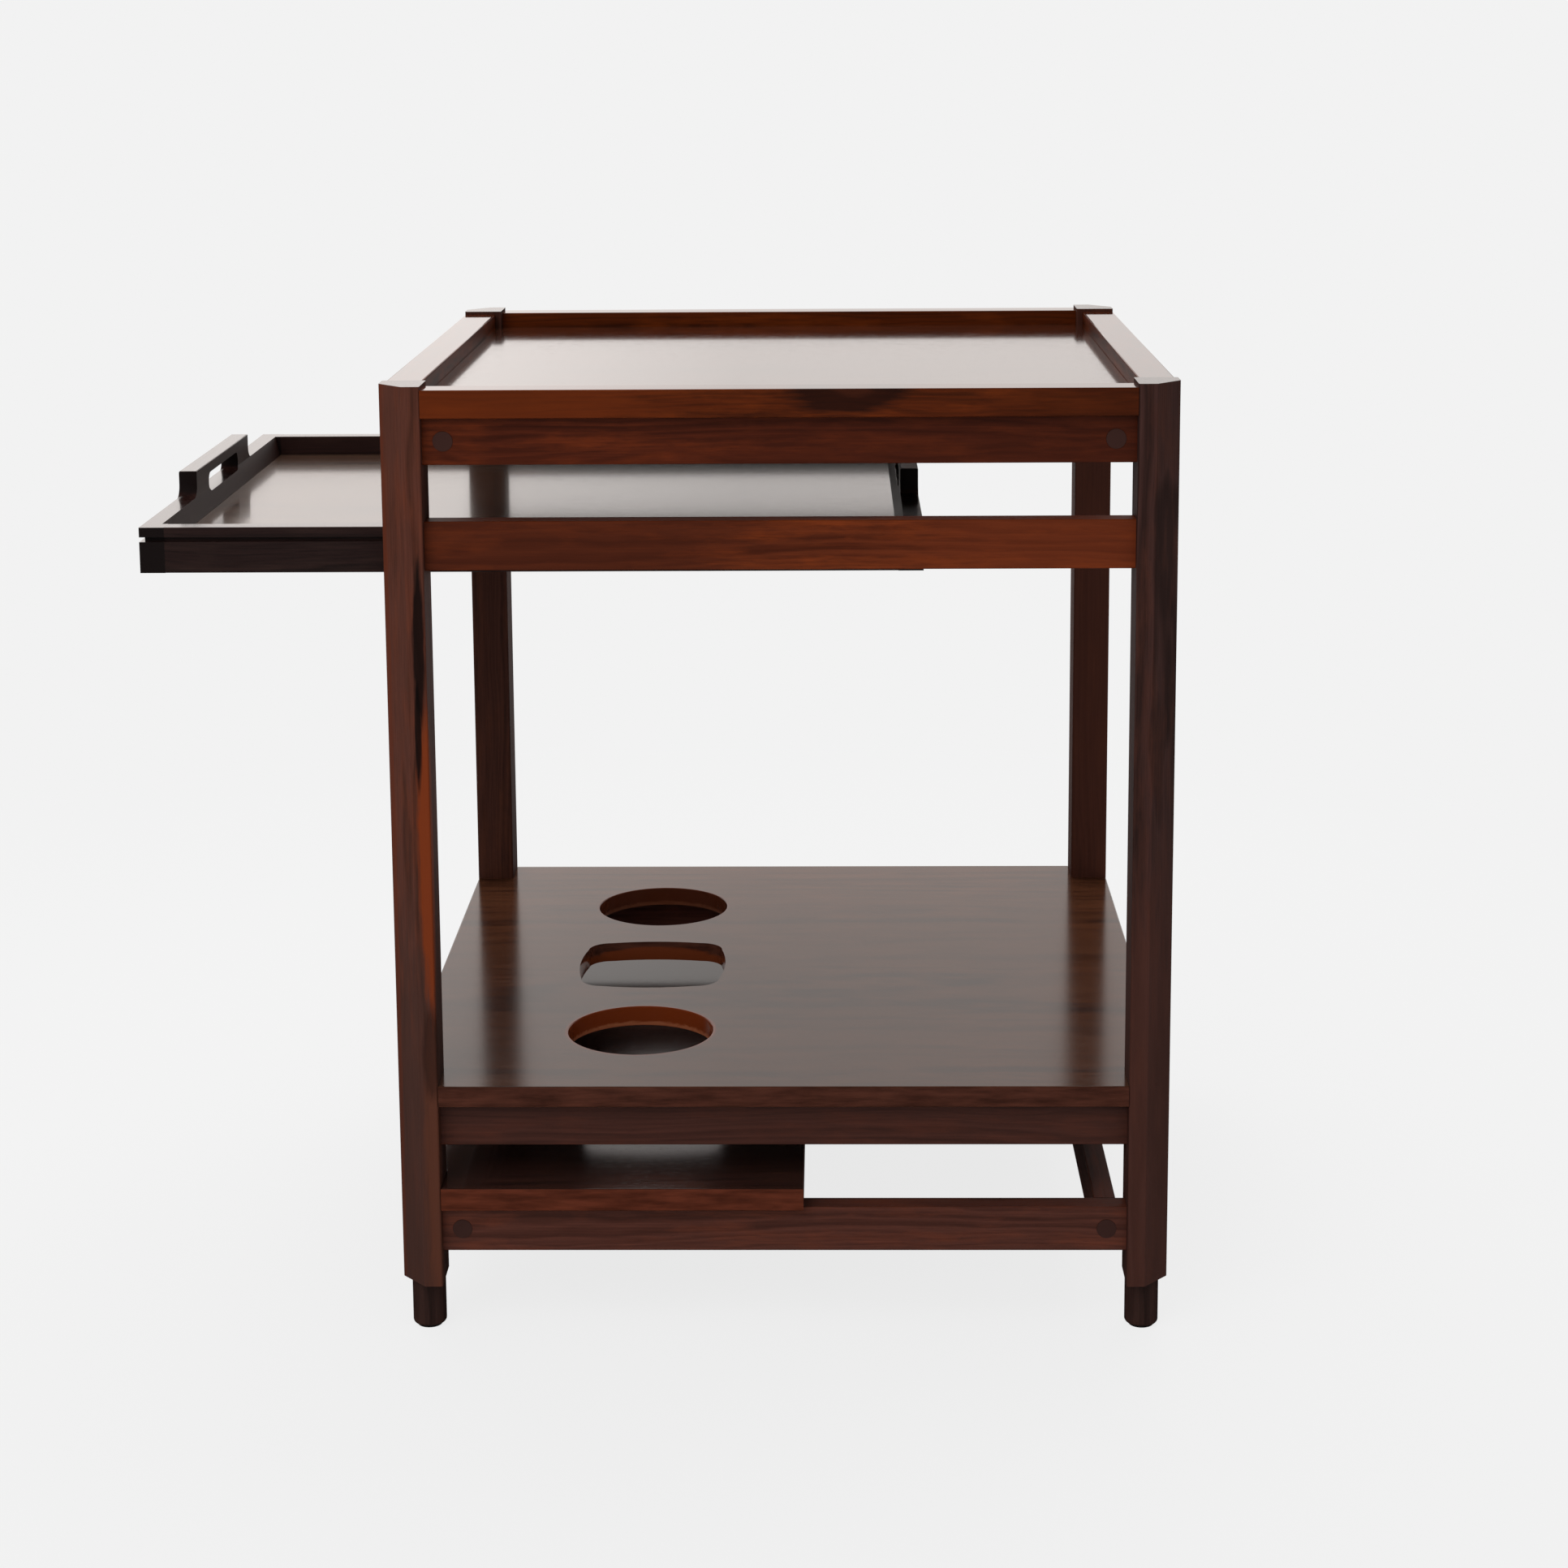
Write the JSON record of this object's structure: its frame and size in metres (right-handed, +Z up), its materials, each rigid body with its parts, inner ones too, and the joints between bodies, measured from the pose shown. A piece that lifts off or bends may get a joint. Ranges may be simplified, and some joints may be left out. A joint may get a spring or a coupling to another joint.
{
  "type": "serving table",
  "caption": "Wooden serving table with a tray that slides out between slim square legs, a recessed top and a low shelf with wells for bottles.",
  "frame": {"origin": "on the floor, under the middle of the whole object with its tray drawn out", "axes": "+Z up, -Y towards the viewer of the long front, the tray draws out towards -X"},
  "size_m": [0.738, 0.57, 0.6985],
  "materials": {
    "rosewood": "oiled",
    "rosewood_plug": "oiled end grain",
    "dark_rosewood": "satin",
    "dark_turned_wood": "satin",
    "lacquered_veneer": "gloss lacquer",
    "steel": "plain",
    "glide": "matt"
  },
  "bodies": {
    "table": {"leg_front_left": "rosewood", "leg_front_right": "rosewood", "leg_back_left": "rosewood", "leg_back_right": "rosewood", "top_rail_front": "rosewood", "top_rail_back": "rosewood", "tray_rail_front": "rosewood", "tray_rail_back": "rosewood", "shelf_apron_front": "rosewood", "shelf_apron_back": "rosewood", "low_rail_front": "rosewood", "low_rail_back": "rosewood", "top_side_rail_left": "rosewood", "top_side_rail_right": "rosewood", "shelf_bearer_left": "rosewood", "shelf_bearer_right": "rosewood", "low_side_rail_left": "rosewood", "low_side_rail_right": "rosewood", "rim_front": "rosewood", "rim_back": "rosewood", "rim_left": "rosewood", "rim_right": "rosewood", "panel_cleat_front": "rosewood", "panel_cleat_back": "rosewood", "shelf_panel": "rosewood", "bottle_platform": "rosewood", "tray_runner_front": "rosewood", "tray_runner_back": "rosewood", "foot_front_left": "dark_turned_wood", "foot_front_right": "dark_turned_wood", "foot_back_left": "dark_turned_wood", "foot_back_right": "dark_turned_wood", "top_panel": "lacquered_veneer", "rail_plugs": "rosewood_plug", "rail_screws": "steel", "runner_screws": "steel", "foot_glides": "glide"},
    "tray": {"tray_end_left": "dark_rosewood", "tray_end_right": "dark_rosewood", "tray_side_front": "dark_rosewood", "tray_side_back": "dark_rosewood", "tray_floor": "lacquered_veneer"}
  },
  "joints": [
    {"name": "tray_slide", "type": "slide", "parent": "table", "child": "tray", "axis": [-1, 0, 0], "range_m": [-0.178, 0.14]}
  ]
}
